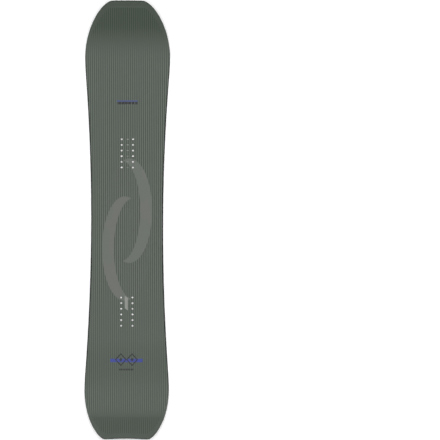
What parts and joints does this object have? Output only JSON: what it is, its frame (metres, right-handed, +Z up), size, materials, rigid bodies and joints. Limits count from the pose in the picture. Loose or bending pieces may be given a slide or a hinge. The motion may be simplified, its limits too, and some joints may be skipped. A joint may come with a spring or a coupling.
{
  "type": "snowboard deck",
  "caption": "Directional snowboard with turned-up nose and tail, laminated wood core, steel edges, tip rims, bevelled sidewalls and packs of threaded inserts for bindings.",
  "frame": {"origin": "under the middle of the board, on the surface it lies on: mid-length, mid-width, level with the contact lines of the base", "axes": "+Y from tail to nose, +X to the rider's right when facing the nose, +Z up through the topsheet"},
  "size_m": [0.3006, 1.55, 0.0514],
  "materials": {
    "topsheet": "satin grey-green with fine lengthwise pinstripes",
    "laminate": "translucent glass fibre and resin",
    "poplar": "planed softwood strip",
    "paulownia": "planed light softwood strip",
    "beech": "planed hardwood rail",
    "sidewall": "black plastic, bevelled and sanded",
    "edge_steel": "ground dark steel",
    "foil": "thin black rubber",
    "rim": "satin grey-green moulded plastic",
    "base_black": "structured sintered plastic with pale speckle",
    "base_plain": "structured sintered plastic",
    "base_blue": "structured sintered plastic, bright blue",
    "insert_steel": "bright turned stainless steel",
    "mat": "woven mat soaked in resin"
  },
  "bodies": {
    "root": {"topsheet": "topsheet", "upper_laminate": "laminate", "lower_laminate": "laminate", "left_core_rail": "beech", "right_core_rail": "beech", "left_sidewall": "sidewall", "right_sidewall": "sidewall", "left_edge": "edge_steel", "right_edge": "edge_steel", "left_edge_foil": "foil", "right_edge_foil": "foil", "nose_rim": "rim", "tail_rim": "rim", "base": "base_black", "blue_base_inlay": "base_blue", "plain_base_inlays": "base_plain", "front_inserts": "insert_steel", "rear_inserts": "insert_steel", "front_insert_mat": "mat", "rear_insert_mat": "mat", "core_strip_1": "paulownia", "core_strip_2": "poplar", "core_strip_3": "paulownia", "core_strip_4": "poplar", "core_strip_5": "paulownia", "core_strip_6": "poplar", "core_strip_7": "paulownia", "core_strip_8": "poplar", "core_strip_9": "paulownia"}
  },
  "joints": []
}
